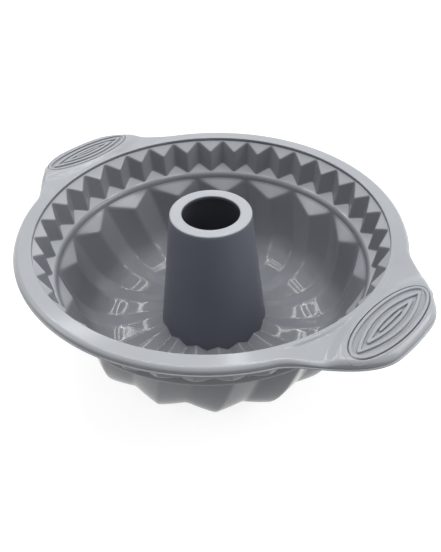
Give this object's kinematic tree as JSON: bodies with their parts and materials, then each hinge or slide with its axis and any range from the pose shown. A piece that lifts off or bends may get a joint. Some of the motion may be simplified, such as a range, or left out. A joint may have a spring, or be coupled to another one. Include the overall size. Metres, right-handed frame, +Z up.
{
  "type": "bundt mould",
  "caption": "Silicone bundt cake mould with swirled flutes, a pleated band under the rim, a hollow centre tube and ribbed side handles.",
  "frame": {"origin": "on the table plane under the tube's axis, at the middle of the foot", "axes": "+X towards one handle, +Z up out of the bowl's mouth"},
  "size_m": [0.312, 0.26, 0.101],
  "materials": {
    "silicone": "satin mid-grey silicone",
    "silicone_dark": "satin slate-grey silicone",
    "steel": "drawn steel wire"
  },
  "bodies": {
    "root": {"fluted_bowl": "silicone", "centre_tube": "silicone_dark", "rim_cover": "silicone", "frame_ring": "steel", "frame_loop_right": "steel", "frame_loop_left": "steel", "grip_pad_right": "silicone", "grip_pad_left": "silicone"}
  },
  "joints": []
}
